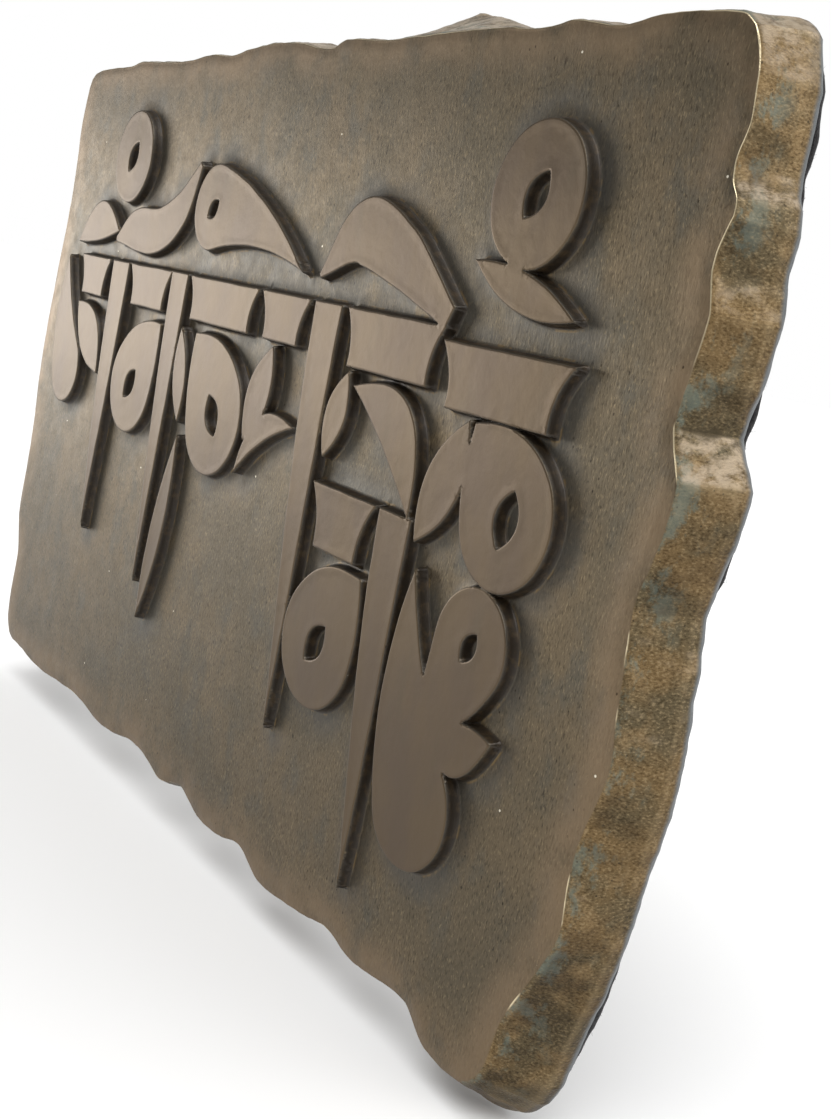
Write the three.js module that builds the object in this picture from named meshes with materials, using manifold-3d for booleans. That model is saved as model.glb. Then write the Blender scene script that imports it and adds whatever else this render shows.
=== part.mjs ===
// A cast wall plaque: a slab with a chipped, flaring edge, rows of raised strokes on its face
// and a thin felt sheet on its back.
// Millimetres. The wall is the plane y = 0, the face looks along -Y, and +Z is up.
// The origin is the middle of the back, where the felt lies on the wall.

import * as THREE from 'three';
import { mergeVertices } from 'three/addons/utils/BufferGeometryUtils.js';
import Module from 'manifold-3d';

// Slab
const halfWidth = 117;
const halfHeight = 74.25;
const wallDepth = 9;
const backRounding = 3.5;
const outlineSamples = 300;
const roundingSteps = 3;

// Felt and the line of glue that holds it
const feltThickness = 1.2;
const glueLine = 0.3;

// Relief
const reliefHeight = 2.2;
const reliefDraft = 0.3;
const reliefRoot = 0.6;
const headLine = 28.8;
const secondHeadLine = -1.8;

const castDepth = wallDepth + backRounding;
const backY = -(feltThickness + glueLine);
const faceY = backY - castDepth;

// The front arris, side by side. Each knot says how far along the side it is, how far the arris
// stands out from the plain rectangle there, and how much wider the slab is behind it.
const topEdge = [
  [-112, -1.6, 1.6], [-104, -0.7, 1.4], [-89, -0.6, 1.6], [-84, 0.2, 2], [-53, -0.5, 1.4],
  [-45, 0.5, 2], [-33, -0.2, 1.6], [-27, 0.9, 2.2], [-9, 1.4, 2], [8, -0.5, 1.2],
  [12.5, 0.8, 1.8], [25, 0.1, 1.8], [31, 0.1, 3.4], [36, 0.2, 5.2], [41, 0.3, 6],
  [47, 0.3, 5.2], [54, 0.4, 2.6], [61, 0.3, 1.6], [72, -0.4, 1.6], [78, 0.6, 2],
  [89, -0.9, 1.2], [98, 0.2, 1.4], [108, 0, 1.6],
];
const rightEdge = [
  [72.9, -3.2, 1.9], [69, -0.7, 1.4], [63.9, 0.3, 0.5], [59.8, 0.8, 0.3], [56, -0.2, 1.2],
  [53.6, -0.2, 1.8], [49.9, 1.7, 0.9], [46.4, 0.5, 2.6], [42.7, -0.3, 2.8], [36.2, 1.2, 2.5],
  [30, 0.2, 2.9], [21.7, -0.7, 1.9], [15.3, 1.9, 3.2], [9.8, 1.8, 3.6], [3.4, 0.6, 2],
  [-1, -0.6, 2.8], [-8.2, 0, 3.3], [-16.3, 0.8, 2.8], [-23.8, 1.7, 3.1], [-34.6, -1, 4.5],
  [-42.2, -1.3, 3.5], [-47, -0.6, 2.6], [-58.2, -5.2, 5.2], [-65.2, -8.4, 6.2], [-73.4, -10.2, 6],
];
const bottomEdge = [
  [104, 2.6, 5.8], [98.7, 3.9, 3.6], [92.4, 3.1, 2.4], [86, -0.5, 3], [69, 0.7, 2.6],
  [62, -0.7, 2.8], [49, 1.1, 2.6], [36, 1.9, 2.4], [27.2, -1.4, 3], [19, 0.3, 2.6],
  [9, 0.7, 2.4], [-0.5, -2.1, 3], [-11, 0.2, 2.6], [-16, -1.4, 2.8], [-26, -2.3, 3],
  [-44, 0.1, 2.6], [-60, -1.5, 2.8], [-86, 0.2, 2.4], [-101, -0.4, 2.4], [-112, -1.8, 2.6],
];
const leftEdge = [
  [-68.9, -1.9, 2.6], [-63.9, -1.1, 2.4], [-51, -2.1, 2.8], [-39.2, 2, 2], [-27.5, 0.9, 2.4],
  [4.4, 2.5, 2], [25.3, 0.7, 2.6], [37.2, -1.2, 3], [51.6, -1.3, 2.6], [59.1, -0.4, 2.4],
  [70.8, -2.6, 2.2],
];

// The slab's outline, clockwise from the top left. Each point holds x, the flare and z.
function outlinePoints() {
  const knots = [
    ...topEdge.map(([along, out, flare]) => new THREE.Vector3(along, flare, halfHeight + out)),
    ...rightEdge.map(([along, out, flare]) => new THREE.Vector3(halfWidth + out, flare, along)),
    ...bottomEdge.map(([along, out, flare]) => new THREE.Vector3(along, flare, -halfHeight - out)),
    ...leftEdge.map(([along, out, flare]) => new THREE.Vector3(-halfWidth - out, flare, along)),
  ];
  const curve = new THREE.CatmullRomCurve3(knots, true, 'centripetal');
  return curve.getSpacedPoints(outlineSamples).slice(0, -1);
}

// Outward direction at each outline point, from its two neighbours.
function outwardAt(points, i) {
  const before = points[(i + points.length - 1) % points.length];
  const after = points[(i + 1) % points.length];
  return new THREE.Vector2(before.z - after.z, after.x - before.x).normalize();
}

// A ring of the outline at depth y, moved outward by step(point, index).
function ringAt(points, y, step) {
  return points.map((point, i) => {
    const outward = outwardAt(points, i).multiplyScalar(step(point, i));
    return new THREE.Vector3(point.x + outward.x, y, point.z + outward.y);
  });
}

// A closed solid through rings of equal length, from the front ring to the back one.
function loft(rings) {
  const count = rings[0].length;
  const corners = rings.flat().flatMap((p) => [p.x, p.y, p.z]);
  const faces = [];
  const flat = (ring) => ring.map((p) => new THREE.Vector2(p.x, p.z));
  const last = (rings.length - 1) * count;
  for (const [a, b, c] of THREE.ShapeUtils.triangulateShape(flat(rings[0]), [])) {
    faces.push(a, b, c);
  }
  for (const [a, b, c] of THREE.ShapeUtils.triangulateShape(flat(rings.at(-1)), [])) {
    faces.push(last + c, last + b, last + a);
  }
  for (let layer = 0; layer + 1 < rings.length; layer += 1) {
    for (let i = 0; i < count; i += 1) {
      const next = (i + 1) % count;
      const front = layer * count;
      const back = front + count;
      faces.push(front + i, front + next, back + i);
      faces.push(front + next, back + next, back + i);
    }
  }
  const geometry = new THREE.BufferGeometry();
  geometry.setAttribute('position', new THREE.Float32BufferAttribute(corners, 3));
  geometry.setIndex(faces);
  return geometry;
}

// The slab widens from the arris to the rim by the flare, then rounds over to the flat back.
function slab() {
  const points = outlinePoints();
  const rings = [ringAt(points, faceY, () => 0)];
  for (let i = 0; i <= roundingSteps; i += 1) {
    const turn = (i / roundingSteps) * (Math.PI / 2);
    const inset = backRounding * (1 - Math.cos(turn));
    const depth = faceY + wallDepth + backRounding * Math.sin(turn);
    rings.push(ringAt(points, depth, (point) => point.y - inset));
  }
  return loft(rings);
}

// The felt is cut a little inside the slab's rim, and stands nearer to it in a few stretches
// of the right side.
const feltInset = 4.4;
const proudStretches = [
  { z: 61, reach: 14 },
  { z: 24, reach: 7 },
  { z: 3, reach: 7 },
  { z: -62, reach: 18 },
];
const proudBy = 3;

function feltStep(point) {
  const onRight = point.x > halfWidth / 2;
  const near = proudStretches.map(({ z, reach }) => Math.max(0, 1 - Math.abs(point.z - z) / reach));
  const proud = onRight ? proudBy * Math.sqrt(Math.max(...near)) : 0;
  return point.y - feltInset + proud;
}

function felt() {
  const points = outlinePoints();
  return loft([ringAt(points, -feltThickness, feltStep), ringAt(points, 0, feltStep)]);
}

// Stroke outlines, drawn in the plane of the face as x across and y up.
const at = ([x, z]) => new THREE.Vector2(x, z);

function disc(centre, radius) {
  const shape = new THREE.Shape();
  shape.absarc(...centre, radius, 0, 2 * Math.PI);
  return shape;
}

// Pointed at both ends; its sides bulge to the left and the right of the line from start to end.
// A quadratic curve reaches half as far as its control, so each control stands twice as far out.
function leaf(start, end, left, right) {
  const middle = at(start).lerp(at(end), 0.5);
  const across = at(end).sub(at(start)).rotateAround(new THREE.Vector2(), Math.PI / 2).normalize();
  const leftControl = middle.clone().addScaledVector(across, 2 * left);
  const rightControl = middle.clone().addScaledVector(across, -2 * right);
  const shape = new THREE.Shape();
  shape.moveTo(...start);
  shape.quadraticCurveTo(rightControl.x, rightControl.y, ...end);
  shape.quadraticCurveTo(leftControl.x, leftControl.y, ...start);
  return shape;
}

// A bar with a straight top, sides that curve in and a narrower foot. At mid height each side's
// control stands a share of the foot's width from the middle.
const wedgeWaist = 0.46;

function wedge([x, top], width, foot, height) {
  const waist = foot * wedgeWaist;
  const middle = top - height / 2;
  const shape = new THREE.Shape();
  shape.moveTo(x - width / 2, top);
  shape.quadraticCurveTo(x - waist, middle, x - foot / 2, top - height);
  shape.lineTo(x + foot / 2, top - height);
  shape.quadraticCurveTo(x + waist, middle, x + width / 2, top);
  return shape;
}

// A straight-topped stroke that holds its width, then narrows to a point below. Its sides' controls
// lie at two shares of its run, and stand out by shares of its width.
const bladeControls = { upper: 0.4, lower: 0.7, shoulder: 0.44, leftBelly: 0.3, rightBelly: 0.12 };

function blade([x, top], width, tip) {
  const { upper, lower, shoulder, leftBelly, rightBelly } = bladeControls;
  const [tipX, tipZ] = tip;
  const upperZ = top + (tipZ - top) * upper;
  const lowerZ = top + (tipZ - top) * lower;
  const shape = new THREE.Shape();
  shape.moveTo(x - width / 2, top);
  shape.bezierCurveTo(x - width * shoulder, upperZ, tipX - width * leftBelly, lowerZ, tipX, tipZ);
  shape.bezierCurveTo(tipX + width * rightBelly, lowerZ, x + width * shoulder, upperZ, x + width / 2, top);
  return shape;
}

// A round head that runs out in a tail; the tail leaves the head turned by some degrees from its
// tip, and bends back to it.
const dropShoulder = THREE.MathUtils.degToRad(78);

function drop(centre, radius, tip, turn) {
  const axis = at(tip).sub(at(centre)).angle() + THREE.MathUtils.degToRad(turn);
  const [left, right] = [1, -1].map((side) => {
    const shoulder = axis + side * dropShoulder;
    const ahead = shoulder - (side * Math.PI) / 2;
    const point = new THREE.Vector2(radius, 0).rotateAround(new THREE.Vector2(), shoulder).add(at(centre));
    const reach = point.distanceTo(at(tip)) / 2;
    const control = new THREE.Vector2(reach, 0).rotateAround(new THREE.Vector2(), ahead).add(point);
    return { shoulder, point, control };
  });
  const shape = new THREE.Shape();
  shape.absarc(...centre, radius, left.shoulder, right.shoulder + 2 * Math.PI);
  shape.quadraticCurveTo(right.control.x, right.control.y, ...tip);
  shape.quadraticCurveTo(left.control.x, left.control.y, left.point.x, left.point.y);
  return shape;
}

// Opens a leaf-shaped pit in a stroke, around a point and turned by an angle in degrees. Each side
// of the pit bulges by a share of its length.
const pitBulge = 0.3;

function pitted(shape, centre, length, turn) {
  const reach = new THREE.Vector2(length / 2, 0)
    .rotateAround(new THREE.Vector2(), THREE.MathUtils.degToRad(turn));
  const start = at(centre).sub(reach).toArray();
  const end = at(centre).add(reach).toArray();
  shape.holes.push(leaf(start, end, length * pitBulge, length * pitBulge));
  return shape;
}

// A band along a smooth path. Each knot holds x, z and half the band's width there.
const waveSteps = 14;

function wave(knots) {
  const curve = new THREE.CatmullRomCurve3(knots.map((knot) => new THREE.Vector3(...knot)));
  const sides = [1, -1].map((side) => {
    const edge = [];
    for (let i = 0; i <= waveSteps; i += 1) {
      const point = curve.getPoint(i / waveSteps);
      const along = curve.getTangent(i / waveSteps);
      const across = new THREE.Vector2(-along.y, along.x).normalize();
      edge.push(new THREE.Vector2(point.x, point.y).addScaledVector(across, side * point.z));
    }
    return edge;
  });
  return new THREE.Shape([...sides[1], ...sides[0].reverse()]);
}

// The accents above the head line.
const accents = [
  pitted(disc([-72.4, 52.4], 10.4), [-72.4, 52.4], 7.5, 60),
  leaf([-99, 31.5], [-74, 35.3], 8.5, 1),
  wave([[-75, 33.5, 0.6], [-66, 36.2, 4.4], [-52, 36.8, 5], [-42, 41.5, 4.2], [-34.5, 51.5, 0.8]]),
  pitted(drop([-25.5, 43], 8.8, [16.5, 33], 14), [-25.5, 42.6], 5.5, 40),
  wave([[23, 33, 0.5], [34.5, 41.5, 5.6], [47, 39, 5.4], [65.5, 30, 2]]),
  pitted(disc([81, 49.5], 10.9), [81, 49.5], 8, 60),
  leaf([69, 39.4], [95.5, 32.6], 2.4, 3.4),
];

// The main row, which hangs from the head line, left to right.
const mainRow = [
  wedge([-85.5, headLine], 19, 13, 9.2),
  drop([-95.5, 1], 8.8, [-103.5, 28], 18),
  leaf([-93, 17.5], [-74.8, 2], 6.4, 4.5),
  blade([-69.6, headLine], 9.8, [-69, -34]),
  wedge([-52, headLine], 23.5, 17.5, 9),
  pitted(drop([-53.5, 3], 11.2, [-41.8, 17.4], 14), [-53.8, 2.6], 8, 55),
  blade([-36.3, headLine], 8.4, [-34.8, -38]),
  wedge([-14.8, headLine], 32, 27, 9),
  pitted(drop([-10, 2.6], 12.2, [-23.6, 17.6], -10), [-10.2, 2.4], 9, 125),
  leaf([-31, 18], [-26, -1.5], 3, 3.2),
  leaf([-24.6, -4], [-30.3, -45], 3.4, 2.6),
  wedge([12, headLine], 19.5, 13.5, 9),
  leaf([10.5, 19], [4.5, 0], 4.6, 4.4),
  leaf([3, -6.6], [23.4, 5.5], 7, -1.6),
  blade([28, headLine], 9.6, [32.2, -48]),
  wedge([50, headLine], 30.5, 25, 10),
  leaf([39, 18.2], [35.2, 2.6], 3.4, 3.6),
  leaf([41, 16], [64.8, -2.4], 10.6, -1),
  wedge([81.5, headLine - 2], 33, 26, 10.2),
  leaf([76.2, 16], [67.6, -5], 5, 4.4),
  pitted(drop([89, 3.6], 11, [77.6, 15.8], -12), [89.4, 3.4], 9, 80),
];

// The short second row below it, at the right.
const secondRow = [
  wedge([44.6, secondHeadLine], 21.5, 14, 11),
  pitted(drop([44.6, -28], 11.8, [55, -14.4], 14), [44.4, -28.4], 8.6, 55),
  blade([61.2, secondHeadLine], 9.6, [65.4, -64]),
  drop([80.2, -43.6], 10.2, [69.8, -8.5], 16),
  pitted(drop([87, -16.2], 8.9, [76.4, -32.5], 16), [87, -16.4], 5.6, 60),
  leaf([79, -31.5], [96.5, -28], 2.2, 6.2),
];

// A stroke's solid: its outline on top, walls that spread by the draft, and a root in the slab.
const strokeCurveSteps = 12;

function strokeSolid(shape) {
  const geometry = new THREE.ExtrudeGeometry(shape, {
    depth: reliefRoot,
    bevelThickness: reliefHeight,
    bevelSize: reliefDraft,
    bevelSegments: 1,
    curveSegments: strokeCurveSteps,
  });
  geometry.rotateX(Math.PI / 2);
  geometry.translate(0, faceY + reliefRoot, 0);
  return geometry;
}

const manifoldLibrary = await Module();
manifoldLibrary.setup();
const mergeDistance = 1e-4;

function toSolid(geometry) {
  geometry.deleteAttribute('normal');
  geometry.deleteAttribute('uv');
  const merged = mergeVertices(geometry, mergeDistance);
  return new manifoldLibrary.Manifold(new manifoldLibrary.Mesh({
    numProp: 3,
    vertProperties: Float32Array.from(merged.attributes.position.array),
    triVerts: Uint32Array.from(merged.index.array),
  }));
}

function toGeometry(solid) {
  const { vertProperties, triVerts } = solid.getMesh();
  const geometry = new THREE.BufferGeometry();
  geometry.setAttribute('position', new THREE.BufferAttribute(vertProperties, 3));
  geometry.setIndex(new THREE.BufferAttribute(triVerts, 1));
  geometry.computeVertexNormals();
  return geometry;
}

function castPlaque() {
  let solid = toSolid(slab());
  for (const shape of [...accents, ...mainRow, ...secondRow]) {
    solid = solid.add(toSolid(strokeSolid(shape)));
  }
  return toGeometry(solid);
}

const bronze = new THREE.MeshStandardMaterial({ color: 0x75654f, roughness: 0.5, metalness: 0.9 });
const blackFelt = new THREE.MeshStandardMaterial({ color: 0x161517, roughness: 1, metalness: 0 });

const plaque = new THREE.Group();
const cast = new THREE.Mesh(castPlaque(), bronze);
cast.name = 'cast_plaque';
const backing = new THREE.Mesh(felt(), blackFelt);
backing.name = 'felt_backing';
plaque.add(cast, backing);

export default plaque;
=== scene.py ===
import math

import bmesh
import bpy
import numpy as np
from mathutils import Matrix, Vector, kdtree, noise
from mathutils.bvhtree import BVHTree
from mathutils.geometry import delaunay_2d_cdt


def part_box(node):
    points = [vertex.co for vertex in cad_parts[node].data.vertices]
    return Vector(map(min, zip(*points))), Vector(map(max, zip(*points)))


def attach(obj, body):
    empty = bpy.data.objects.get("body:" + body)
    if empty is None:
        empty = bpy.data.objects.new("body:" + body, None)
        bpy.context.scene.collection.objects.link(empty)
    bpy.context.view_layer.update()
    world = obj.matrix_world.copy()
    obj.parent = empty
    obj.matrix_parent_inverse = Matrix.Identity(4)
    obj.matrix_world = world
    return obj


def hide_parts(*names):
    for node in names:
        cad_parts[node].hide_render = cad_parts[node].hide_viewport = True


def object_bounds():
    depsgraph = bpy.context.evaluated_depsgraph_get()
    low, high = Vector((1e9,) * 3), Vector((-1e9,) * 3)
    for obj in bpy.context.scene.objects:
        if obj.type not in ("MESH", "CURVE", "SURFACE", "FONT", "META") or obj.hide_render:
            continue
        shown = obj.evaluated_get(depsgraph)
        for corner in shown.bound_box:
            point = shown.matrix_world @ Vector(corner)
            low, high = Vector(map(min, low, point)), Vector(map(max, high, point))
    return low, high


# A cast wall plaque with a worn bronze face, raised strokes, a broken edge and a felt back.
# Shapes are worked out in millimetres from the frame's own nodes, then written in metres.

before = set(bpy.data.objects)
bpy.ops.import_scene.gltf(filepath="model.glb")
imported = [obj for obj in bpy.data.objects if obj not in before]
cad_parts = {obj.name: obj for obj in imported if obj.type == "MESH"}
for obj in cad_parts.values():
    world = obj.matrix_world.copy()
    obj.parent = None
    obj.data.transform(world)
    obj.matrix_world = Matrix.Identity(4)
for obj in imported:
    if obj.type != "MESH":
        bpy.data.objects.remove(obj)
cad_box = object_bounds()
MM = 0.001


# Rims of the frame's solids

# Corners closer than the weld are one, and shorter edges and rim sides are dropped.
WELD = 0.002
SHORTEST_EDGE = 0.001
SHORTEST_SIDE = 0.06
# A face is flat where its normal's y is below these, for levels and, more loosely, for rims.
FLAT = -0.999
NEARLY_FLAT = -0.99
SAME_LEVEL = 0.01
# The turn that makes a rim's point a corner, and the points put on each side of a smooth run.
CORNER = math.radians(28)
FINE = 8
# Creases of the broken edge: how far to look each way, the least turn, and the least and most
# points between two of them.
CREASE_SPAN = 3
CREASE_TURN = 0.16
CREASE_GAP = 4
FACET_MOST = 16
# How a ring is filled with faces: only inside it, with points this close taken as one.
FILL_INSIDE = 1
FILL_WELD = 1e-5
# Depths in front of the whole part, where rays start, and how near a rim its own direction
# tells the inside from the outside.
RAY_START = -20
NEAR_RIM = 0.5
# How far each seed moves the noise along the three axes.
SEED_SHIFT = (17.3, 5.7, 11.9)


def shared_mesh(node):
    """A node's mesh with shared corners, in millimetres."""
    mesh = bmesh.new()
    mesh.from_mesh(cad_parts[node].data)
    bmesh.ops.scale(mesh, vec=Vector((1, 1, 1)) / MM, verts=mesh.verts)
    bmesh.ops.remove_doubles(mesh, verts=mesh.verts, dist=WELD)
    bmesh.ops.dissolve_degenerate(mesh, edges=mesh.edges, dist=SHORTEST_EDGE)
    mesh.normal_update()
    return mesh


def flat_levels(mesh):
    """Depths of the flat areas that face the front, the largest area first."""
    areas = {}
    for face in mesh.faces:
        if face.normal.y < FLAT:
            level = round(face.calc_center_median().y, 2)
            areas[level] = areas.get(level, 0) + face.calc_area()
    return sorted(areas, key=areas.get, reverse=True)


def rims_at(mesh, level):
    """Closed rims of the flat area at a depth, as (x, z) points. The area lies on their left."""
    def is_flat(face):
        away = abs(face.calc_center_median().y - level)
        return face.normal.y < NEARLY_FLAT and away < SAME_LEVEL

    after = {}
    for face in filter(is_flat, mesh.faces):
        for loop in face.loops:
            if not all(is_flat(other) for other in loop.edge.link_faces):
                after.setdefault(loop.vert, []).append(loop.link_loop_next.vert)
    rims = []
    while after:
        start = next(iter(after))
        rim, here = [], start
        while here in after:
            rim.append((here.co.x, here.co.z))
            following = after[here].pop()
            if not after[here]:
                del after[here]
            here = following
        if len(rim) > 2:
            rims.append(np.array(rim))
    return rims


def widest_rim(mesh, level):
    """The rim at a depth that spans the most from left to right."""
    return max(rims_at(mesh, level), key=lambda rim: np.ptp(rim[:, 0]))


def hermite_run(points):
    """A smooth dense polyline through points, whose chord lengths may differ."""
    if len(points) == 2:
        return points
    chord = np.linalg.norm(np.diff(points, axis=0), axis=1)[:, None]
    slope = np.diff(points, axis=0) / chord
    inner = (slope[:-1] * chord[1:] + slope[1:] * chord[:-1]) / (chord[1:] + chord[:-1])
    tangent = np.vstack([2 * slope[:1] - inner[:1], inner, 2 * slope[-1:] - inner[-1:]])
    t = np.linspace(0, 1, FINE, endpoint=False)[None, :, None]
    start, end = points[:-1, None], points[1:, None]
    leave, arrive = (tangent[:-1] * chord)[:, None], (tangent[1:] * chord)[:, None]
    curve = ((2 * t**3 - 3 * t**2 + 1) * start + (t**3 - 2 * t**2 + t) * leave
             + (3 * t**2 - 2 * t**3) * end + (t**3 - t**2) * arrive)
    return np.vstack([curve.reshape(-1, 2), points[-1:]])


def evenly(points, step):
    """Points about one step apart along an open polyline, its last point left out."""
    length = np.r_[0, np.cumsum(np.linalg.norm(np.diff(points, axis=0), axis=1))]
    count = max(1, round(length[-1] / step))
    where = np.linspace(0, length[-1], count, endpoint=False)
    return np.column_stack([np.interp(where, length, points[:, k]) for k in (0, 1)])


def smooth_rim(rim, step):
    """Even points along a closed rim, smooth between its corners, which stay."""
    keep = np.linalg.norm(rim - np.roll(rim, 1, axis=0), axis=1) > SHORTEST_SIDE
    rim = rim[keep]
    edge = np.roll(rim, -1, axis=0) - rim
    heading = np.arctan2(edge[:, 1], edge[:, 0])
    turn = (heading - np.roll(heading, 1) + math.pi) % (2 * math.pi) - math.pi
    corners = np.flatnonzero(abs(turn) > CORNER)
    if len(corners) == 0:
        wrapped = np.vstack([rim[-2:], rim, rim[:3]])
        dense = hermite_run(wrapped)
        return evenly(dense[2 * FINE:-2 * FINE], step)
    rim = np.roll(rim, -corners[0], axis=0)
    stops = [*(corners - corners[0]), len(rim)]
    closed = np.vstack([rim, rim[:1]])
    runs = [closed[a:b + 1] for a, b in zip(stops, stops[1:])]
    return np.vstack([evenly(hermite_run(run), step) for run in runs])


def outward(rim):
    """Unit directions away from the area that a rim bounds."""
    along = np.roll(rim, -1, axis=0) - np.roll(rim, 1, axis=0)
    away = np.column_stack([along[:, 1], -along[:, 0]])
    return away / np.maximum(np.linalg.norm(away, axis=1), 1e-9)[:, None]


def subdivided(rim, count):
    """A closed rim with each of its sides cut into this many steps."""
    t = (np.arange(count) / count)[None, :, None]
    return (rim[:, None] * (1 - t) + np.roll(rim, -1, axis=0)[:, None] * t).reshape(-1, 2)


def at_level(flat, level):
    """Points in space from (x, z) points, at one depth or at a depth each."""
    return np.column_stack([flat[:, 0], np.broadcast_to(level, len(flat)), flat[:, 1]])


def calmed(ring, turns):
    """Values or places round a closed ring, evened out with their neighbours."""
    for _ in range(turns):
        ring = (np.roll(ring, 1, axis=0) + 2 * ring + np.roll(ring, -1, axis=0)) / 4
    return ring


def filled(ring, inner):
    """Faces inside a closed ring: the points, the faces and the places of the ring's points."""
    count = len(ring)
    sides = [(i, (i + 1) % count) for i in range(count)]
    given = [Vector(place) for place in np.vstack([ring, inner])]
    verts, _, faces, origin, _, _ = delaunay_2d_cdt(given, sides, [], FILL_INSIDE, FILL_WELD)
    kept = [0] * count
    for made, sources in enumerate(origin):
        for source in sources:
            if source < count:
                kept[source] = made
    return np.array([tuple(v) for v in verts]), [tuple(face) for face in faces], kept


def bands(rings):
    """Faces between closed rings with as many points each, every ring behind the one before."""
    faces = []
    for here, behind in zip(rings, rings[1:]):
        for i in range(len(here)):
            j = (i + 1) % len(here)
            faces.append((here[i], behind[i], behind[j], here[j]))
    return faces


def creases(ring):
    """Where a closed ring turns most, with more places between those that are far apart."""
    behind = ring - np.roll(ring, CREASE_SPAN, axis=0)
    ahead = np.roll(ring, -CREASE_SPAN, axis=0) - ring
    turn = abs(behind[:, 0] * ahead[:, 1] - behind[:, 1] * ahead[:, 0])
    turn /= np.linalg.norm(behind, axis=1) * np.linalg.norm(ahead, axis=1)
    count, chosen = len(ring), []
    for i in np.argsort(-turn, kind="stable"):
        gaps = [min((i - c) % count, (c - i) % count) for c in chosen]
        if turn[i] > CREASE_TURN and min(gaps, default=count) >= CREASE_GAP:
            chosen.append(int(i))
    chosen.sort()
    knots = []
    for a, b in zip(chosen, chosen[1:] + [chosen[0] + count]):
        parts = math.ceil((b - a) / FACET_MOST)
        knots += [(a + (b - a) * k // parts) % count for k in range(parts)]
    return knots


def faceted(ring, knots, share):
    """A ring moved part of the way to the straight lines between its knots."""
    result, count = ring.copy(), len(ring)
    for a, b in zip(knots, knots[1:] + knots[:1]):
        span = (b - a) % count
        index = (a + np.arange(span)) % count
        t = (np.arange(span) / span)[:, None]
        chord = ring[a] * (1 - t) + ring[b] * t
        result[index] += share * (chord - ring[index])
    return result


def solid_before(tree, level):
    """A test that tells whether a solid lies in front of a depth at an (x, z) place."""
    def is_inside(place):
        hit = tree.ray_cast(Vector((place[0], RAY_START, place[1])), Vector((0, 1, 0)))[0]
        return hit is not None and hit.y < level
    return is_inside


class Distance:
    """Signed distance from a set of rims: below zero inside the area that they bound."""

    def __init__(self, rims, cuts, is_inside):
        rims = [subdivided(rim, cuts) for rim in rims]
        self.is_inside = is_inside
        self.points = np.vstack(rims)
        self.away = np.vstack([outward(rim) for rim in rims])
        self.tree = kdtree.KDTree(len(self.points))
        for i, (x, z) in enumerate(self.points):
            self.tree.insert((x, z, 0), i)
        self.tree.balance()

    def __call__(self, places):
        found = [self.tree.find((x, z, 0)) for x, z in places]
        nearest = np.array([f[1] for f in found])
        length = np.array([f[2] for f in found])
        inside = ((places - self.points[nearest]) * self.away[nearest]).sum(axis=1) < 0
        for i in np.flatnonzero(length > NEAR_RIM):
            inside[i] = self.is_inside(places[i])
        return np.where(inside, -length, length)


# Uneven surfaces and meshes

def ripple(places, size, seed, stretch=(1, 1, 1)):
    """Smooth noise between -1 and 1 at 3-D places, with swells about this many millimetres wide."""
    scaled = places * np.array(stretch) / size
    shift = Vector([seed * k for k in SEED_SHIFT])
    return np.array([noise.noise(Vector(p) + shift) for p in scaled])


def ripples(places, layers, middle=0):
    """Layers of noise added up, each with its depth, its width and its seed, about a middle."""
    return sum(depth * (middle + ripple(places, size, seed)) for depth, size, seed in layers)


def soft_step(low, high, value):
    """0 at low, 1 at high, smooth between; low may be above high."""
    t = np.clip((value - low) / (high - low), 0, 1)
    return t * t * (3 - 2 * t)


def wobbled(rim, wobbles):
    """A rim whose line wanders a little, as hand-finished edges do."""
    for amount, size, seed in wobbles:
        rim = rim + outward(rim) * (amount * ripple(at_level(rim, 0.0), size, seed))[:, None]
    return rim


def read_values(items, name, width, kind=float):
    """A value of every point or edge of a mesh, as an array with this many columns."""
    values = np.empty(len(items) * width, kind)
    items.foreach_get(name, values)
    return values.reshape(-1, width)


def set_values(mesh, name, values):
    """Keep a value for every point of a mesh, which its material reads by name."""
    mesh.attributes.new(name, "FLOAT", "POINT").data.foreach_set("value", values.astype(np.float32))


def mesh_of(name, places, faces):
    """A mesh in metres, with soft shading, from points in millimetres."""
    mesh = bpy.data.meshes.new(name)
    mesh.from_pydata((places * MM).tolist(), [], faces)
    mesh.shade_smooth()
    return mesh


def linked(name, data):
    """An object for this data, put into the scene."""
    piece = bpy.data.objects.new(name, data)
    bpy.context.scene.collection.objects.link(piece)
    return piece


# The cast plaque

# Steps along the strokes' rims and the arris, and of the grid between them.
STROKE_STEP = 0.5
EDGE_STEP = 0.6
CELL = 1.35
FEWEST_POINTS = 6
# How each side of a rim is cut to measure distances from it.
STROKE_CUTS = 6
ARRIS_CUTS = 4
# Wandering lines, the grid's unevenness and the surfaces': depth, width of a swell and seed.
STROKE_WOBBLES = [(0.1, 5, 21)]
ARRIS_WOBBLES = [(0.25, 9, 22), (0.1, 2.6, 23)]
GRID_X_WANDER = [(0.25 * CELL, 1.1, 3)]
GRID_Z_WANDER = [(0.25 * CELL, 1.1, 4)]
SHOULDER_SWELL = [(0.5, 13, 8)]
FACE_SWELLS = [(0.10, 26, 1), (0.05, 7, 2)]
SIDE_DENTS = [(0.2, 3.4, 6), (0.11, 1.5, 7)]
SKIN_PITS = [(0.02, 2.2, 9)]
# Streaks down the side are long across its depth.
STREAK_DEPTH, STREAK_SIZE, STREAK_SEED, STREAK_STRETCH = 0.16, 6.5, 5, (1, 0.3, 1)
# The strokes' tops swell less than the face.
TOP_SHARE = 0.4
# Height of a stroke's side, as shares of its full height, by distance out from its top rim.
STROKE_PROFILE = [(-1.1, 1.0), (-0.4, 0.997), (-0.12, 0.985), (0.0, 0.92), (0.12, 0.58),
                  (0.28, 0.12), (0.44, 0.03), (0.85, 0.0)]
# Rings on the face inside the arris, by distance from it.
SHOULDER_RINGS = [0.3, 0.75, 1.4, 2.3]
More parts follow.
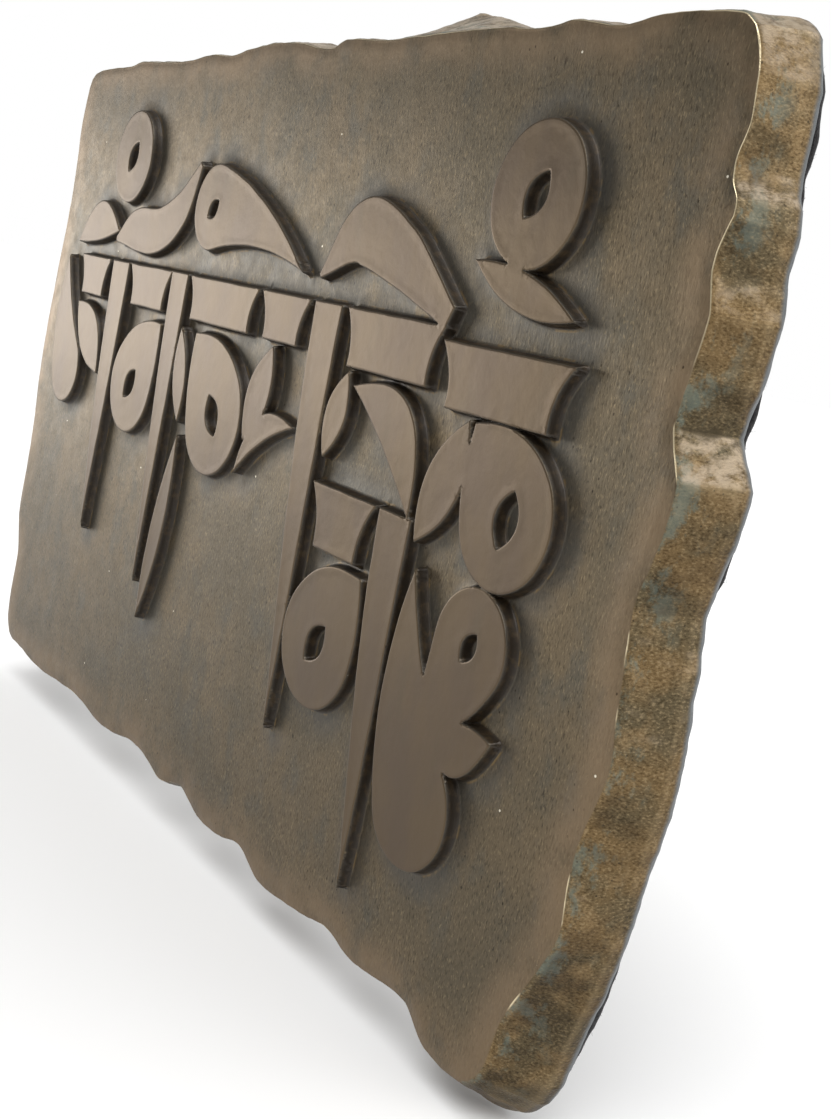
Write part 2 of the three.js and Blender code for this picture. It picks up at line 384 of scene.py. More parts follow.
# What the grid keeps clear of: a stroke's rim on both sides, the innermost ring and the arris.
CLEAR_INSIDE, CLEAR_OUTSIDE, CLEAR_RING, CLEAR_ARRIS = 1.5, 1.4, 0.6, 0.2
# The lowered shoulder: its least depth, what comes on top along the edge and where it is worn,
# its width with none of that depth and for each millimetre of it, and the power of its curve.
SHOULDER_LEAST, SHOULDER_MORE, SHOULDER_WORN = 0.08, 0.12, 0.35
SHOULDER_WIDTH, SHOULDER_SPREAD, SHOULDER_CURVE = 1.2, 3.2, 1.6
# Where the shoulder is worn: from the first place to the second, rightward and downward.
WORN_RIGHT = (90, 112)
WORN_BOTTOM = (-55, -72)
# A place is off the face where the solid lies this much behind it.
OFF_FACE = 0.1
# Rows down the slab's side: depths behind the arris, then turns of the rounded back rim.
SIDE_DEPTHS = [0.2, 0.5, 0.95, *np.arange(1.5, 11.0, 0.65)]
RIM_RADIUS = 2.2
RIM_TURNS = np.radians([12, 30, 50, 70, 90])
# How far the arris and the side's rows are drawn to the flat facets between the creases, how
# deep the side takes to get there, and the row from which the creases are sharp.
ARRIS_FACETS = 0.4
SIDE_FACETS = 0.75
FACET_FADE = 2.5
SHARP_FROM = 2
# Rays reach this far out from the arris.
RAY = 8
# How often a row is evened out: how far it stands out, the way inward and the rim's own line.
STAND_CALM, INWARD_CALM, RIM_CALM = 3, 20, 8
# How often the surface is evened out before its bulges are read off.
BULGE_CALM = 14
# The plaque stays this far inside its CAD box.
BOX_GAP = 0.001
# The distance kept for points that are far from a stroke, and the spans that materials read.
FAR = 30.0
REACH_SPAN = (-6, 12)
EDGE_SPAN = (-15, 15)


def face_points(strokes, arris, to_stroke, to_arris):
    """Points of the face: rings round the strokes, rings inside the arris and a staggered grid."""
    rings = [rim + outward(rim) * reach for rim in strokes for reach, _ in STROKE_PROFILE]
    rings += [arris - outward(arris) * inset for inset in SHOULDER_RINGS]
    low, high = arris.min(axis=0), arris.max(axis=0)
    rows = []
    for k, z in enumerate(np.arange(low[1], high[1], CELL * math.sqrt(3) / 2)):
        x = np.arange(low[0] + CELL * (k % 2) / 2, high[0], CELL)
        rows.append(np.column_stack([x, np.full(len(x), z)]))
    grid = np.vstack(rows)
    lifted = at_level(grid, 0.0)
    wander = [ripples(lifted, GRID_X_WANDER), ripples(lifted, GRID_Z_WANDER)]
    grid = grid + np.column_stack(wander)
    reach = to_stroke(grid)
    free = (reach < -CLEAR_INSIDE) | (reach > CLEAR_OUTSIDE)
    inside = to_arris(grid) < -(SHOULDER_RINGS[-1] + CLEAR_RING)
    points = np.vstack([*rings, grid[free & inside]])
    return points[to_arris(points) < -CLEAR_ARRIS]


def shoulder_depth(places):
    """How far the arris lies below the face, along the edge: more at the right and the bottom."""
    swell = 0.5 + ripples(at_level(places, 0.0), SHOULDER_SWELL)
    right = soft_step(*WORN_RIGHT, places[:, 0])
    bottom = soft_step(*WORN_BOTTOM, places[:, 1])
    return SHOULDER_LEAST + (SHOULDER_MORE + SHOULDER_WORN * np.maximum(right, bottom)) * swell


def plaque_front(source, face_level, top_level):
    """The front's points, faces and arris ring, with each point's distance from stroke and arris."""
    strokes = [smooth_rim(rim, STROKE_STEP) for rim in rims_at(source, top_level)]
    strokes = [wobbled(rim, STROKE_WOBBLES) for rim in strokes if len(rim) >= FEWEST_POINTS]
    plain_arris = smooth_rim(widest_rim(source, face_level), EDGE_STEP)
    knots = creases(plain_arris)
    plain_arris = faceted(plain_arris, knots, ARRIS_FACETS)
    arris = wobbled(plain_arris, ARRIS_WOBBLES)
    tree = BVHTree.FromBMesh(source)
    to_stroke = Distance(strokes, STROKE_CUTS, solid_before(tree, (face_level + top_level) / 2))
    to_arris = Distance([arris], ARRIS_CUTS, solid_before(tree, face_level + OFF_FACE))

    flat, faces, ring = filled(arris, face_points(strokes, arris, to_stroke, to_arris))
    reach = to_stroke(flat)
    inset = -to_arris(flat)
    distances, shares = zip(*STROKE_PROFILE)
    raised = (face_level - top_level) * np.interp(reach, distances, shares)
    depth_here = shoulder_depth(flat)
    width_here = SHOULDER_WIDTH + SHOULDER_SPREAD * depth_here
    lowered = depth_here * np.clip(1 - inset / width_here, 0, 1) ** SHOULDER_CURVE
    front = at_level(flat, face_level - raised + lowered)
    return front, faces, ring, plain_arris, knots, reach, inset


def side_rows(source, ring, knots, face_level, back_level):
    """The (x, z) points of each row down the slab's side, with the row's level."""
    tree = BVHTree.FromBMesh(source)
    away = outward(ring)
    rows, stand = [], np.zeros(len(ring))
    for depth in SIDE_DEPTHS:
        level = face_level + depth
        for i, ((x, z), (dx, dz)) in enumerate(zip(ring, away)):
            start = Vector((x + dx * RAY, level, z + dz * RAY))
            hit = tree.ray_cast(start, Vector((-dx, 0, -dz)), 2 * RAY)
            if hit[0] is not None:
                stand[i] = max(stand[i], RAY - hit[3])
        calm = calmed(stand, STAND_CALM)
        share = SIDE_FACETS * soft_step(face_level, face_level + FACET_FADE, level)
        rows.append((level, faceted(ring + away * calm[:, None], knots, share)))
    widest = rows[-1][1]
    inward = -outward(calmed(widest, INWARD_CALM))
    for turn in RIM_TURNS:
        level = back_level - RIM_RADIUS * (1 - math.sin(turn))
        inset = 1 - math.cos(turn)
        inner = widest + (calmed(widest, RIM_CALM) - widest) * inset
        rows.append((level, inner + inward * RIM_RADIUS * inset))
    return rows


def bulges(mesh):
    """How far each point stands out from a smoothed copy of the mesh, along its normal."""
    co = read_values(mesh.vertices, "co", 3) / MM
    normal = read_values(mesh.vertices, "normal", 3)
    edge = read_values(mesh.edges, "vertices", 2, int)
    degree = np.bincount(edge.ravel(), minlength=len(co))[:, None]
    calm = co.copy()
    for _ in range(BULGE_CALM):
        total = np.column_stack([
            np.bincount(edge[:, 0], calm[edge[:, 1], k], len(co))
            + np.bincount(edge[:, 1], calm[edge[:, 0], k], len(co)) for k in range(3)])
        calm = total / degree
    return ((co - calm) * normal).sum(axis=1)


def slab(source):
    """The casting's points and faces, each point's distance from the strokes and the edge, and
    the edges that lie in creases."""
    face_level, top_level = flat_levels(source)[:2]
    back_level = max(vert.co.y for vert in source.verts)
    front, faces, ring, plain_arris, knots, reach, inset = plaque_front(
        source, face_level, top_level)

    rings, points, edge_depth = [ring], [front], [inset]
    arris = front[ring]
    total, count = len(front), len(ring)
    for level, outline in side_rows(source, plain_arris, knots, face_level, back_level):
        share = (level - face_level) / (back_level - face_level)
        sunk = (arris[:, 1] - face_level) * (1 - share)
        wander = (arris[:, [0, 2]] - plain_arris) * (1 - share)
        rings.append(range(total, total + count))
        points.append(at_level(outline + wander, level + sunk))
        edge_depth.append(np.full(count, face_level - level))
        total += count
    faces += bands(rings)
    _, back_faces, kept = filled(points[-1][:, [0, 2]], np.empty((0, 2)))
    given = {made: rings[-1][i] for i, made in enumerate(kept)}
    faces += [tuple(given[k] for k in reversed(face)) for face in back_faces]
    columns = range(SHARP_FROM, len(SIDE_DEPTHS))
    sharp = {(rings[k][i], rings[k + 1][i]) for i in knots for k in columns}
    reach = np.concatenate([reach, np.full(total - len(reach), FAR)])
    return np.vstack(points), faces, reach, np.concatenate(edge_depth), sharp


def sinking(places, reach, edge_depth):
    """How far each point of the casting sinks in: swells, dents and streaks by surface."""
    side = soft_step(0.1, -0.8, edge_depth)
    top = soft_step(-0.3, -0.9, reach)
    ground = (1 - side) * soft_step(0.6, 2.0, reach)
    swell = ripples(places, FACE_SWELLS, 1)
    streak = STREAK_DEPTH * ripple(places, STREAK_SIZE, STREAK_SEED, STREAK_STRETCH)
    dent = ripples(places, SIDE_DENTS)
    skin = ripples(places, SKIN_PITS, 1)
    return ground * swell + side * (streak + dent) + top * TOP_SHARE * swell + skin


def cast_plaque():
    """The casting, with its distances, bulges and upward turn kept for the material."""
    places, faces, reach, edge_depth, sharp = slab(shared_mesh("cast_plaque"))
    mesh = mesh_of("plaque", places, faces)
    normal = read_values(mesh.vertices, "normal", 3)
    places = places - normal * sinking(places, reach, edge_depth)[:, None]
    low, high = [np.array(corner / MM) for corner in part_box("cast_plaque")]
    places = np.clip(places, low + BOX_GAP, high - BOX_GAP)
    mesh.vertices.foreach_set("co", (places * MM).ravel())
    mesh.update()

    in_crease = [tuple(edge.vertices) in sharp for edge in mesh.edges]
    mesh.attributes.new("sharp_edge", "BOOLEAN", "EDGE").data.foreach_set("value", in_crease)
    set_values(mesh, "lift", read_values(mesh.vertices, "normal", 3)[:, 2])
    set_values(mesh, "reach", np.clip(reach, *REACH_SPAN))
    set_values(mesh, "edge", np.clip(edge_depth, *EDGE_SPAN))
    set_values(mesh, "bulge", bulges(mesh))
    return linked("plaque", mesh)


plaque = cast_plaque()
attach(plaque, "root")
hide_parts("cast_plaque")


# The felt

FELT_STEP = 0.8
FELT_CELL = 3.2
FELT_CUTS = 3
# The sheet lies this far inside its own solid's rim, its grid this far inside that, and its
# front this far behind the solid's.
FELT_INSET = 0.15
FELT_CLEAR = 1.5
FELT_GAP = 0.02
FELT_WOBBLES = [(0.3, 7, 31), (0.18, 1.6, 32)]
FELT_SWELLS = [(0.06, 16, 33), (0.04, 5, 34)]
# Rows down the sheet's edge: the share of its thickness from the front, and how far it bulges.
FELT_EDGE = [(0.2, 0.12), (0.5, 0.2), (0.8, 0.12)]
# Loose fibres of the edge: how many, where across the thickness, how they lean and curl, the
# shape and scale of their lengths, their half widths, and the steps and corners of each.
FIBRES = 2600
FIBRE_SEED = 35
FIBRE_SPREAD = (0.05, 0.95)
FIBRE_LEAN = 0.6
FIBRE_CURL = 0.9
FIBRE_RISE = 0.3
FIBRE_LENGTH = (3, 0.09)
FIBRE_WIDTH = (0.018, 0.04)
FIBRE_TAPER = 0.75
FIBRE_BACK = -0.05
FIBRE_STEPS = 4
FIBRE_CORNERS = 3


def fibre_faces(base):
    """Faces of one fibre's tube and of its two ends, whose points start at base."""
    faces = []
    for k in range(FIBRE_STEPS):
        for corner in range(FIBRE_CORNERS):
            a = base + FIBRE_CORNERS * k + corner
            b = base + FIBRE_CORNERS * k + (corner + 1) % FIBRE_CORNERS
            faces.append((a, b, b + FIBRE_CORNERS, a + FIBRE_CORNERS))
    last = base + FIBRE_CORNERS * FIBRE_STEPS
    return [*faces, (base, base + 2, base + 1), (last, last + 1, last + 2)]


def felt_fibres(rim, away, front_level):
    """Thin curved fibres that stand out of the sheet's edge, as three-sided tubes."""
    random = np.random.default_rng(FIBRE_SEED)
    pick = random.integers(0, len(rim), FIBRES)
    level = front_level * random.uniform(*FIBRE_SPREAD, FIBRES)
    root = at_level(rim[pick], level)
    out = at_level(away[pick], 0.0)
    along = np.column_stack([-away[pick, 1], np.zeros(FIBRES), away[pick, 0]])
    lean = random.normal(0, FIBRE_LEAN, (FIBRES, 1))
    curl = random.normal(0, FIBRE_CURL, (FIBRES, 1))
    length = random.gamma(*FIBRE_LENGTH, (FIBRES, 1))
    thick = random.uniform(*FIBRE_WIDTH, (FIBRES, 1))
    places = []
    for k in range(FIBRE_STEPS + 1):
        t = k / FIBRE_STEPS
        middle = root + length * t * (out + along * (lean + curl * t))
        middle[:, 1] += length[:, 0] * t * t * curl[:, 0] * FIBRE_RISE
        middle[:, 1] = np.clip(middle[:, 1], front_level, FIBRE_BACK)
        width = thick * (1 - FIBRE_TAPER * t)
        for corner in range(FIBRE_CORNERS):
            angle = 2 * math.pi * corner / FIBRE_CORNERS
            places.append(middle + width * (math.cos(angle) * along
                                            + math.sin(angle) * np.array([0, 1, 0])))
    places = np.stack(places, axis=1).reshape(-1, 3)
    stride = FIBRE_CORNERS * (FIBRE_STEPS + 1)
    faces = [face for fibre in range(FIBRES) for face in fibre_faces(fibre * stride)]
    return places, faces


def felt_sheet():
    """The felt, with a bulging wavering edge, a softly wavy back and its loose fibres."""
    source = shared_mesh("felt_backing")
    front_level = min(vert.co.y for vert in source.verts)
    rim = smooth_rim(widest_rim(source, front_level), FELT_STEP)
    rim = wobbled(rim - outward(rim) * FELT_INSET, FELT_WOBBLES)
    away, count = outward(rim), len(rim)
    low, high = rim.min(axis=0), rim.max(axis=0)
    grid = np.array([(x, z) for z in np.arange(low[1], high[1], FELT_CELL)
                     for x in np.arange(low[0], high[0], FELT_CELL)])
    to_rim = Distance([rim], FELT_CUTS, solid_before(BVHTree.FromBMesh(source), 0))
    flat, cells, ring = filled(rim, grid[to_rim(grid) < -FELT_CLEAR])
    swell = ripples(at_level(flat, 0.0), FELT_SWELLS, 1)
    places = [at_level(flat, front_level + FELT_GAP), at_level(flat, -swell)]
    faces = cells + [tuple(len(flat) + k for k in reversed(cell)) for cell in cells]
    total = 2 * len(flat)
    rings = [ring]
    for share, stand in FELT_EDGE:
        rings.append(range(total, total + count))
        places.append(at_level(rim + away * stand, front_level * (1 - share)))
        total += count
    rings.append([len(flat) + k for k in ring])
    faces += bands(rings)
    fuzz, fuzz_faces = felt_fibres(rim, away, front_level)
    faces += [tuple(total + k for k in face) for face in fuzz_faces]
    return linked("felt", mesh_of("felt", np.vstack([*places, fuzz]), faces))


felt = felt_sheet()
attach(felt, "root")
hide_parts("felt_backing")


# Camera

SENSOR_WIDTH = 36
LENS = 46.659
NEAREST, FARTHEST = 0.01, 50
CAMERA_PLACE = (0.25212, -0.14371, 0.02876)
CAMERA_RIGHT = (0.5352, 0.8220, 0.1946)
CAMERA_AHEAD = (-0.8095, 0.5649, -0.1599)

camera_data = bpy.data.cameras.new("camera")
camera_data.sensor_width = SENSOR_WIDTH
camera_data.lens = LENS
camera_data.clip_start = NEAREST
camera_data.clip_end = FARTHEST
camera = linked("camera", camera_data)
right = Vector(CAMERA_RIGHT).normalized()
ahead = Vector(CAMERA_AHEAD).normalized()
turn = Matrix((right, right.cross(ahead), -ahead)).transposed()
camera.matrix_world = Matrix.Translation(CAMERA_PLACE) @ turn.to_4x4()
bpy.context.scene.camera = camera


# Materials

# How far a shift moves a texture along the three axes.
SHIFT_STEPS = (1, 2.3, 5.1)


def tone(red, green, blue):
    """A colour given as 0 to 255 display values, in linear light."""
    return tuple((c / 255 / 12.92) if c <= 10 else ((c / 255 + 0.055) / 1.055) ** 2.4
                 for c in (red, green, blue))


class Look:
    """One material, built from short calls that each add a node and return its output."""

    def __init__(self, name):
        self.material = bpy.data.materials.new(name)
        self.material.use_nodes = True
        self.tree = self.material.node_tree
        self.shader = self.tree.nodes["Principled BSDF"]
        self.place = self.tree.nodes.new("ShaderNodeTexCoord").outputs["Object"]

    def feed(self, socket, value):
        """Link an output to a socket, or set a colour or a number on it."""
        if isinstance(value, bpy.types.NodeSocket):
            self.tree.links.new(value, socket)
        elif isinstance(value, tuple):
            socket.default_value = (*value, 1)
        else:
            socket.default_value = value

    def set(self, **values):
        """Feed the shader's inputs, which are named with underscores for spaces."""
        for name, value in values.items():
            self.feed(self.shader.inputs[name.replace("_", " ")], value)

    def scaled(self, size, stretch, shift):
        """Places on the object counted in size millimetres, stretched and moved."""
        mapping = self.tree.nodes.new("ShaderNodeMapping")
        mapping.inputs["Scale"].default_value = [k / (size * MM) for k in stretch]
        mapping.inputs["Location"].default_value = [k * shift for k in SHIFT_STEPS]
        self.tree.links.new(self.place, mapping.inputs["Vector"])
        return mapping.outputs["Vector"]

    def noise(self, size, detail=3, stretch=(1, 1, 1), shift=0, rough=0.55, bend=0):
        """Cloudy noise around 0.5, with clouds about size millimetres wide."""
        node = self.tree.nodes.new("ShaderNodeTexNoise")
        node.inputs["Scale"].default_value = 1
        node.inputs["Detail"].default_value = detail
        node.inputs["Roughness"].default_value = rough
        node.inputs["Distortion"].default_value = bend
        self.tree.links.new(self.scaled(size, stretch, shift), node.inputs["Vector"])
        return node.outputs["Fac"]

    def cells(self, size, stretch=(1, 1, 1), shift=0):
        """Distance from the nearest of many scattered points, about size millimetres apart."""
        node = self.tree.nodes.new("ShaderNodeTexVoronoi")
        node.inputs["Scale"].default_value = 1
        self.tree.links.new(self.scaled(size, stretch, shift), node.inputs["Vector"])
        return node.outputs["Distance"]

    def value(self, name):
        """A value that the mesh keeps for its points."""
        node = self.tree.nodes.new("ShaderNodeAttribute")
        node.attribute_name = name
        return node.outputs["Fac"]

    def height(self):
        """The height of a place on the object, in millimetres."""
        split = self.tree.nodes.new("ShaderNodeSeparateXYZ")
        self.tree.links.new(self.place, split.inputs[0])
        return self.math("DIVIDE", split.outputs["Z"], MM)

    def window(self, value, low, high):
        """0 at low, 1 at high, smooth between; low may be above high."""
        node = self.tree.nodes.new("ShaderNodeMapRange")
        node.interpolation_type = "SMOOTHSTEP"
        ends = (low, high, 0, 1) if low < high else (high, low, 1, 0)
        for name, end in zip(("From Min", "From Max", "To Min", "To Max"), ends):
            node.inputs[name].default_value = end
        self.feed(node.inputs["Value"], value)
        return node.outputs["Result"]

    def math(self, operation, a, b=0.0):
        """One sum with one or two values."""
        node = self.tree.nodes.new("ShaderNodeMath")
        node.operation = operation
        self.feed(node.inputs[0], a)
        self.feed(node.inputs[1], b)
        return node.outputs[0]

    def times(self, *values):
        """All values multiplied."""
        result = values[0]
        for value in values[1:]:
            result = self.math("MULTIPLY", result, value)
        return result

    def mix(self, share, a, b):
        """A colour between a and b, by share."""
        node = self.tree.nodes.new("ShaderNodeMix")
        node.data_type = "RGBA"
        self.feed(node.inputs[0], share)
        self.feed(node.inputs[6], a)
        self.feed(node.inputs[7], b)
        return node.outputs[2]

    def blend(self, share, a, b):
        """A number between a and b, by share."""
        node = self.tree.nodes.new("ShaderNodeMix")
        self.feed(node.inputs[0], share)
        self.feed(node.inputs[2], a)
        self.feed(node.inputs[3], b)
        return node.outputs[0]

    def shade(self, color, amount, factor):
        """A colour multiplied towards factor, by amount."""
        node = self.tree.nodes.new("ShaderNodeMix")
        node.data_type = "RGBA"
        node.blend_type = "MULTIPLY"
        self.feed(node.inputs[0], amount)
        self.feed(node.inputs[6], color)
        self.feed(node.inputs[7], factor)
        return node.outputs[2]

    def bump(self, height, depth, normal=None):
        """Bumps that stand up by depth millimetres where height is 1."""
        node = self.tree.nodes.new("ShaderNodeBump")
        node.inputs["Strength"].default_value = 1
        node.inputs["Distance"].default_value = depth * MM
        self.feed(node.inputs["Height"], height)
        if normal is not None:
            self.tree.links.new(normal, node.inputs["Normal"])
        return node.outputs["Normal"]


def ground_tones(look, reach, edge):
    """The face between the strokes: worn brown, dark patina by the strokes, a paler shoulder."""
    ground = look.mix(look.window(look.noise(24, 4), 0.36, 0.64),
                      tone(88, 79, 63), tone(102, 89, 69))
    cloud = look.window(look.noise(6, 5, (1, 1, 0.7), 3), 0.46, 0.72)
    ground = look.mix(cloud, ground, tone(86, 80, 68))
    dark_grain = look.window(look.noise(0.3, 3, (1, 1, 0.3), 7), 0.48, 0.7)
    ground = look.shade(ground, dark_grain, tone(190, 187, 183))
    pale_grain = look.window(look.noise(0.28, 2, (1, 1, 0.3), 11), 0.54, 0.7)
    ground = look.mix(look.times(pale_grain, 0.4), ground, tone(142, 126, 98))
    spots = look.times(look.window(look.noise(0.7, 3, (1, 1, 0.55), 13), 0.62, 0.72),
                       look.window(look.noise(16, 3, shift=14), 0.42, 0.62))
    ground = look.shade(ground, spots, tone(166, 162, 158))
    pooled = look.times(look.window(reach, 7, 0.8),
                        look.window(look.noise(9, 4, shift=5), 0.28, 0.55))
    ground = look.mix(look.times(pooled, 0.6), ground, tone(76, 75, 72))
    shoulder = look.times(look.window(edge, 8.5, 0.8),
                          look.window(look.noise(10, 4, shift=15), 0.25, 0.6))
    ground = look.mix(look.times(shoulder, 0.7), ground, tone(126, 107, 84))
    pits = look.times(look.window(look.cells(1.5, (1, 1, 0.7), 4), 0.13, 0.07),
                      look.window(look.noise(9, 3, shift=21), 0.5, 0.62))
    ground = look.shade(ground, pits, tone(150, 142, 132))
    specks = look.window(look.cells(7, shift=9), 0.034, 0.022)
    return look.mix(look.times(specks, 0.9), ground, tone(225, 218, 200))


def crest_tones(look):
    """The flat tops of the strokes, satin and smooth."""
    crest = look.mix(look.window(look.noise(12, 4, (1, 1, 0.5), 31), 0.35, 0.65),
                     tone(87, 74, 60), tone(92, 78, 60))
    cloud = look.window(look.noise(5, 4, (1, 1, 0.3), 33), 0.55, 0.75)
    return look.mix(look.times(cloud, 0.4), crest, tone(83, 73, 58))


def side_tones(look, edge, bulge, lift, grain, green):
    """The broken side: golden brown grain, green patches, painted shade in hollows and on
    down-facing faces, and painted highlights on upward-facing ledges.
    """
    gilt = look.mix(look.window(look.noise(9, 4, (1, 0.6, 1), 51), 0.36, 0.62),
                    tone(112, 92, 62), tone(90, 79, 58))
    gilt = look.mix(look.times(look.window(look.noise(4.5, 4, shift=53), 0.5, 0.7), 0.8),
                    gilt, tone(128, 107, 76))
    gilt = look.shade(gilt, look.window(grain, 0.48, 0.7), tone(190, 184, 174))
    gilt = look.mix(look.times(look.window(grain, 0.48, 0.3), 0.4), gilt, tone(166, 146, 112))
    gilt = look.mix(look.times(green, 0.6), gilt, tone(84, 98, 88))
    # Painted shade: the side's colour is darkened where its surface faces down.
    under = look.times(look.window(lift, 0.0, -0.4), look.window(edge, -0.4, -1.4))
    gilt = look.shade(gilt, look.times(under, 0.9), tone(176, 170, 160))
    # Painted highlight: ledges that face up, below the arris, are mixed toward a pale cream, as
    # light from above would show them.
    painted_ledge_highlight = look.times(look.window(lift, 0.1, 0.5), look.window(edge, -0.3, -1.2),
                       look.window(look.noise(2.2, 5, (1, 0.6, 1), 58, 0.7), 0.36, 0.6))
    gilt = look.mix(look.times(painted_ledge_highlight, 0.8), gilt, tone(174, 158, 136))
    # Painted shade: hollows and creases of the side, where the surface sinks below its smoothed
    # copy, are darkened.
    painted_hollow_shade = look.window(bulge, -0.06, -0.3)
    gilt = look.mix(look.times(painted_hollow_shade, 0.75), gilt, tone(62, 54, 40))
    pits = look.times(look.window(look.cells(1.0, shift=63), 0.2, 0.1),
                      look.window(look.noise(6, 3, shift=65), 0.52, 0.6),
                      look.math("SUBTRACT", 1.0, painted_ledge_highlight))
    gilt = look.mix(look.times(pits, 0.8), gilt, tone(52, 45, 34))
    worn = look.times(look.window(bulge, 0.12, 0.4), look.window(edge, -0.8, -2.2),
                      look.window(edge, -9.6, -8.4))
    gilt = look.mix(look.times(worn, 0.2), gilt, tone(176, 156, 122))
    rim = look.times(look.window(edge, -9.9, -11.0), 0.92)
    return look.mix(rim, gilt, tone(100, 105, 108))


def bronze_look():
    """Worn bronze: face, strokes, their walls and feet, the side and its bright arris, whose cream
    line is worn edge plus a painted highlight that is fuller on the upper part.
    """
    look = Look("worn_bronze")
    reach, edge, bulge = look.value("reach"), look.value("edge"), look.value("bulge")
    lift = look.value("lift")
    side = look.window(edge, 0.0, -0.3)
    top = look.window(reach, 0.0, -0.12)
    wall = look.times(look.window(reach, -0.05, 0.08), look.window(reach, 0.62, 0.4))
    foot = look.times(look.window(reach, 0.45, 0.6), look.window(reach, 1.0, 0.7))
    grain = look.noise(0.3, 3, (1, 0.5, 1), 55)
    green = look.times(look.window(look.noise(4.2, 6, (1, 0.8, 0.6), 57, 0.72), 0.5, 0.62),
                       look.window(edge, -9.0, -2.0))

    deep = look.mix(look.window(look.noise(1.4, 3, shift=41), 0.45, 0.7),
                    tone(40, 32, 22), tone(62, 49, 31))
    color = look.mix(wall, ground_tones(look, reach, edge), deep)
    gold = look.times(foot, look.window(look.noise(2.5, 4, shift=43), 0.5, 0.62), 0.55)
    color = look.mix(gold, color, tone(122, 100, 64))
    color = look.mix(top, color, crest_tones(look))
    color = look.mix(side, color, side_tones(look, edge, bulge, lift, grain, green))
    # The cream arris line is edge wear plus a painted highlight: it runs nearly unbroken on the
    # upper part of the plaque and breaks up lower down.
    arris_break_noise = look.noise(11, 4, shift=61)
    high = look.window(look.height(), 22, 48)
    arris_wear_and_highlight = look.blend(high, look.window(arris_break_noise, 0.56, 0.64), look.window(arris_break_noise, 0.3, 0.42))
    arris = look.times(look.window(edge, -0.3, -0.05), look.window(edge, 0.16, 0.03), arris_wear_and_highlight)
    color = look.mix(look.times(arris, 0.9), color, tone(226, 210, 174))

    rough = look.blend(look.noise(3, 4, shift=71), 0.36, 0.56)
    rough = look.blend(look.times(top, 0.9), rough, 0.42)
    rough = look.blend(look.times(arris, 0.9), rough, 0.3)
    metal = look.blend(wall, 0.85, 0.3)
    metal = look.blend(look.times(green, side), metal, 0.3)

    fine = look.noise(0.45, 3, (1, 1, 0.3), 7)
    normal = look.bump(look.times(fine, look.math("SUBTRACT", 1.0, top)), 0.04)
    normal = look.bump(look.times(grain, side), 0.09, normal)
    normal = look.bump(look.noise(1.8, 4, shift=73), 0.03, normal)
    look.set(Base_Color=color, Roughness=rough, Metallic=metal, Normal=normal)
    return look.material


def felt_look():
    """Black felt with specks of lint."""
    look = Look("black_felt")
    mat = look.mix(look.window(look.noise(0.5, 4, shift=5), 0.4, 0.7),
                   tone(17, 16, 18), tone(40, 38, 41))
    lint = look.window(look.cells(5.5, (1, 1, 0.3), 8), 0.05, 0.03)
    mat = look.mix(look.times(lint, 0.7), mat, tone(190, 188, 184))
    normal = look.bump(look.noise(0.4, 5, shift=6, bend=1.5), 0.22)
    look.set(Base_Color=mat, Roughness=1.0, Normal=normal)
    look.shader.inputs["Sheen Weight"].default_value = 0.1
    look.shader.inputs["Sheen Roughness"].default_value = 0.6
    return look.material


def floor_look():
    """The pale ground that the plaque stands on."""
    look = Look("pale_floor")
    look.set(Base_Color=tone(244, 244, 244), Roughness=0.9)
    look.shader.inputs["Specular IOR Level"].default_value = 0.1
    return look.material


plaque.data.materials.append(bronze_look())
felt.data.materials.append(felt_look())


# Stage and light

FLOOR_GAP = 0.001
FLOOR_RADIUS = 30
FLOOR_SIDES = 96
WARM = (1.0, 0.98, 0.95)
SUN_POWER = 2.3
SUN_SPREAD = math.radians(50)
SUN_FROM = (0.25, -0.55, 1)
# The world is dim in front of the plaque and bright behind it, by the direction's share of +Y.
DIM_SIDE, BRIGHT_SIDE = -0.45, 0.75
DIM, BRIGHT = 0.30, 1.05


def softbox(name, place, target, size, power):
    """A rectangular lamp at a place, turned to a target."""
    light = bpy.data.lights.new(name, "AREA")
    light.shape = "RECTANGLE"
    light.size, light.size_y = size
    light.energy = power
    light.color = WARM
    lamp = linked(name, light)
    lamp.location = place
    lamp.rotation_euler = (Vector(target) - Vector(place)).to_track_quat("-Z", "Y").to_euler()


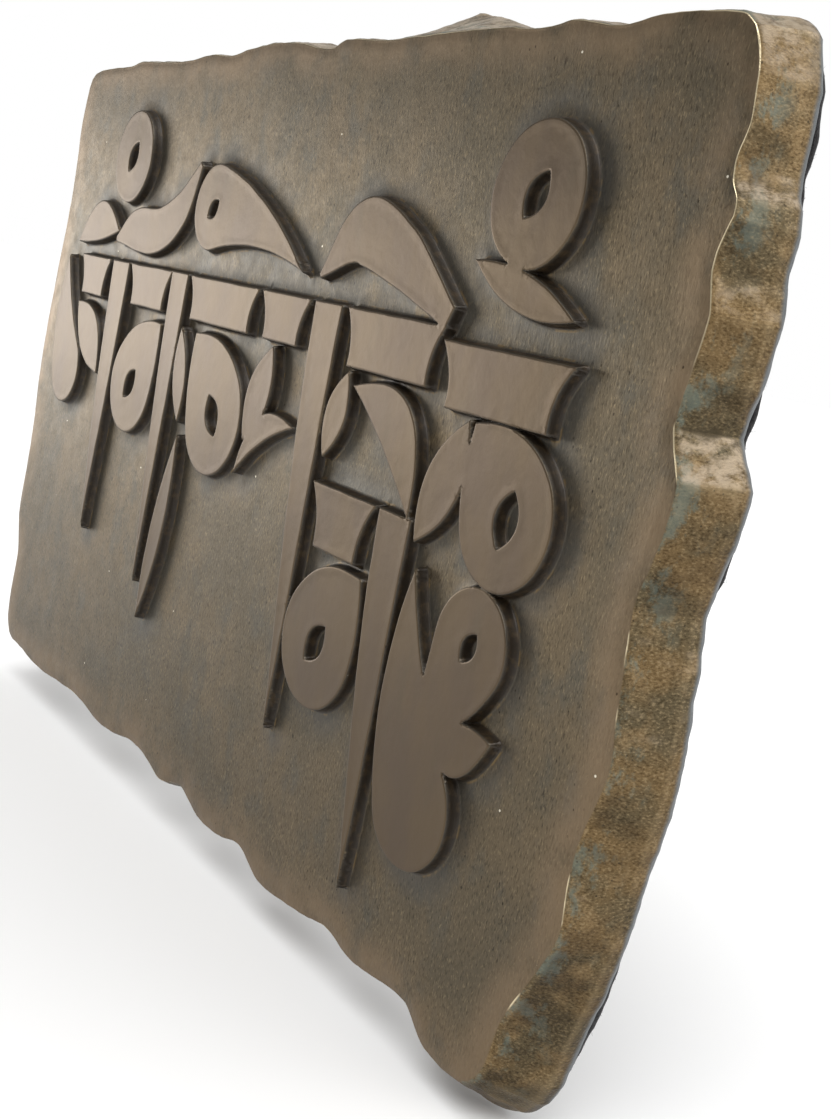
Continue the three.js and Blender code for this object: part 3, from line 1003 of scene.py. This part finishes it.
def lay_floor():
    """A wide pale disc just under the plaque."""
    mesh = bpy.data.meshes.new("floor")
    disc = bmesh.new()
    bmesh.ops.create_circle(disc, cap_ends=True, segments=FLOOR_SIDES, radius=FLOOR_RADIUS)
    disc.to_mesh(mesh)
    disc.free()
    mesh.materials.append(floor_look())
    floor = linked("floor", mesh)
    floor.location.z = cad_box[0].z - FLOOR_GAP
    return floor


def light_world():
    """A studio that is brightest behind the plaque. The camera sees it all as plain white."""
    world = bpy.data.worlds.new("world")
    bpy.context.scene.world = world
    world.use_nodes = True
    tree = world.node_tree
    direction = tree.nodes.new("ShaderNodeTexCoord")
    parts = tree.nodes.new("ShaderNodeSeparateXYZ")
    tree.links.new(direction.outputs["Generated"], parts.inputs[0])
    depth = tree.nodes.new("ShaderNodeMapRange")
    depth.interpolation_type = "SMOOTHSTEP"
    depth.inputs["From Min"].default_value = DIM_SIDE
    depth.inputs["From Max"].default_value = BRIGHT_SIDE
    depth.inputs["To Min"].default_value = DIM
    depth.inputs["To Max"].default_value = BRIGHT
    tree.links.new(parts.outputs["Y"], depth.inputs["Value"])
    light_path = tree.nodes.new("ShaderNodeLightPath")
    seen = tree.nodes.new("ShaderNodeMix")
    seen.inputs[3].default_value = 1.0
    tree.links.new(depth.outputs["Result"], seen.inputs[2])
    tree.links.new(light_path.outputs["Is Camera Ray"], seen.inputs[0])
    background = tree.nodes["Background"]
    background.inputs["Color"].default_value = (1, 1, 1, 1)
    tree.links.new(seen.outputs[0], background.inputs["Strength"])


floor = lay_floor()

sun = bpy.data.lights.new("overhead", "SUN")
sun.energy = SUN_POWER
sun.angle = SUN_SPREAD
overhead = linked("overhead", sun)
overhead.rotation_euler = Vector(SUN_FROM).to_track_quat("Z", "Y").to_euler()

light_world()
bpy.context.scene.view_settings.view_transform = "Standard"

softbox("left_front", place=(-0.9, -0.45, 0.02), target=(0, 0, 0), size=(0.5, 0.2), power=2.2)
softbox("right_back", place=(0.9, 0.4, 0.5), target=(0.1, 0, 0), size=(0.8, 0.6), power=3.2)
